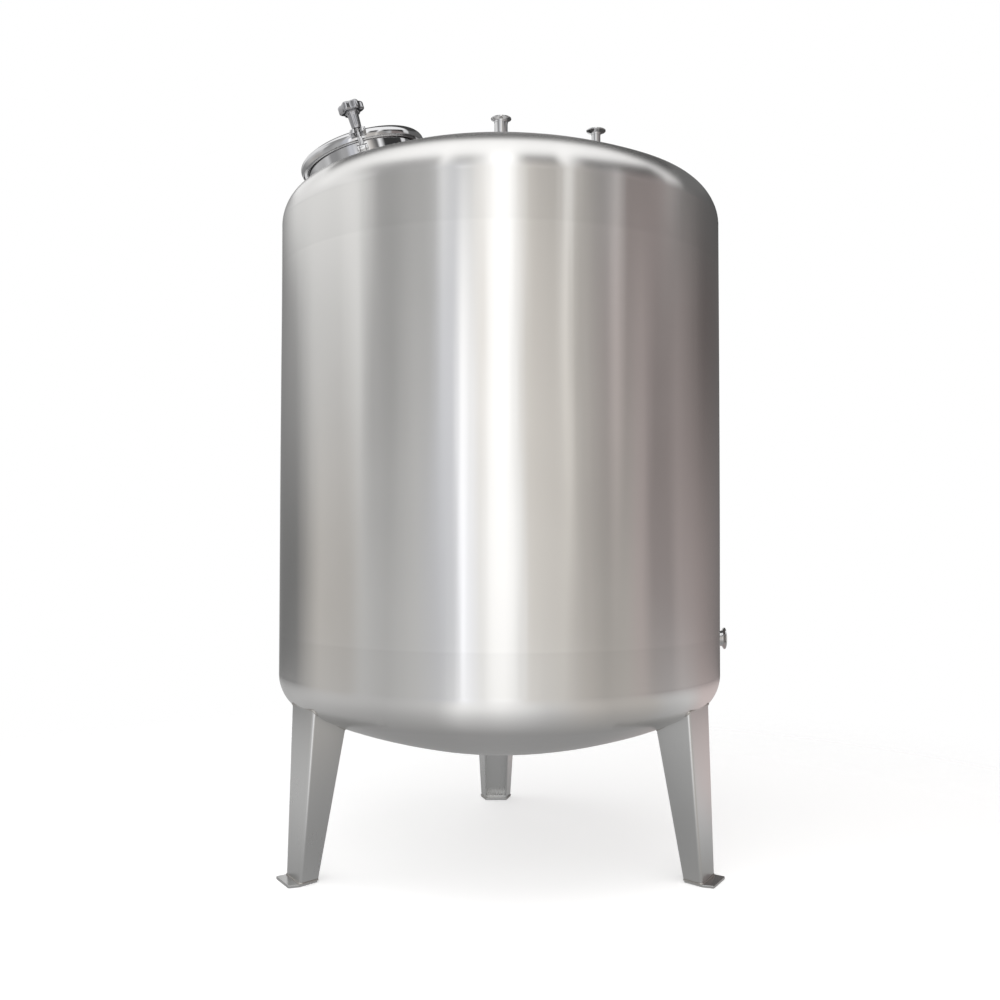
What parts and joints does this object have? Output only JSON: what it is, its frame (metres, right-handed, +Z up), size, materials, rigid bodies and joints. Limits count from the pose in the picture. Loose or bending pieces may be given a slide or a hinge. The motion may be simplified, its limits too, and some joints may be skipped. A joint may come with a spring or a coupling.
{
  "type": "vertical storage tank",
  "caption": "Upright stainless storage tank with dished heads on folded sheet legs, a hinged manway with a swing bolt, and clamp ferrule nozzles.",
  "frame": {"origin": "on the tank's vertical axis at floor level", "axes": "+Z up along the tank's axis; +Y towards the back leg; -X towards the manway, +X towards the side outlet"},
  "size_m": [1.531, 1.53, 2.4976],
  "materials": {
    "satin_shell": "satin stainless plate",
    "satin_legs": "satin stainless sheet",
    "mirror_steel": "mirror-polished stainless",
    "gasket_rubber": "white moulded gasket"
  },
  "bodies": {
    "tank": {"shell_plate_1": "satin_shell", "shell_plate_2": "satin_shell", "shell_plate_3": "satin_shell", "shell_plate_4": "satin_shell", "shell_plate_5": "satin_shell", "shell_plate_6": "satin_shell", "shell_plate_7": "satin_shell", "shell_plate_8": "satin_shell", "top_head": "satin_shell", "bottom_head": "satin_shell", "left_leg": "satin_legs", "right_leg": "satin_legs", "back_leg": "satin_legs", "left_foot": "satin_legs", "right_foot": "satin_legs", "back_foot": "satin_legs", "manway_neck": "mirror_steel", "hinge_lugs": "mirror_steel", "hinge_pin": "mirror_steel", "bolt_lugs": "mirror_steel", "bolt_pin": "mirror_steel", "centre_nozzle_tube": "mirror_steel", "centre_nozzle_ferrule": "mirror_steel", "right_nozzle_tube": "mirror_steel", "right_nozzle_ferrule": "mirror_steel", "side_outlet_tube": "mirror_steel", "side_outlet_ferrule": "mirror_steel"},
    "lid": {"manway_lid": "mirror_steel", "manway_gasket": "gasket_rubber", "lid_ear": "mirror_steel", "lid_strap": "mirror_steel"},
    "bolt": {"swing_bolt": "mirror_steel"},
    "knob": {"hand_knob": "mirror_steel"}
  },
  "joints": [
    {"name": "lid_hinge", "type": "hinge", "parent": "tank", "child": "lid", "pos_m": [-0.48625, 0.26177, 2.37745], "axis": [-0.9565, -0.0419, -0.2888], "range_deg": [0, 105]},
    {"name": "bolt_swing", "type": "hinge", "parent": "tank", "child": "bolt", "pos_m": [-0.45269, -0.24329, 2.33953], "axis": [0.9565, 0.0419, 0.2888], "range_deg": [0, 95]},
    {"name": "knob_turn", "type": "hinge", "parent": "bolt", "child": "knob", "pos_m": [-0.49258, -0.24329, 2.47164], "axis": [-0.289, 0, 0.9573], "continuous": true}
  ]
}
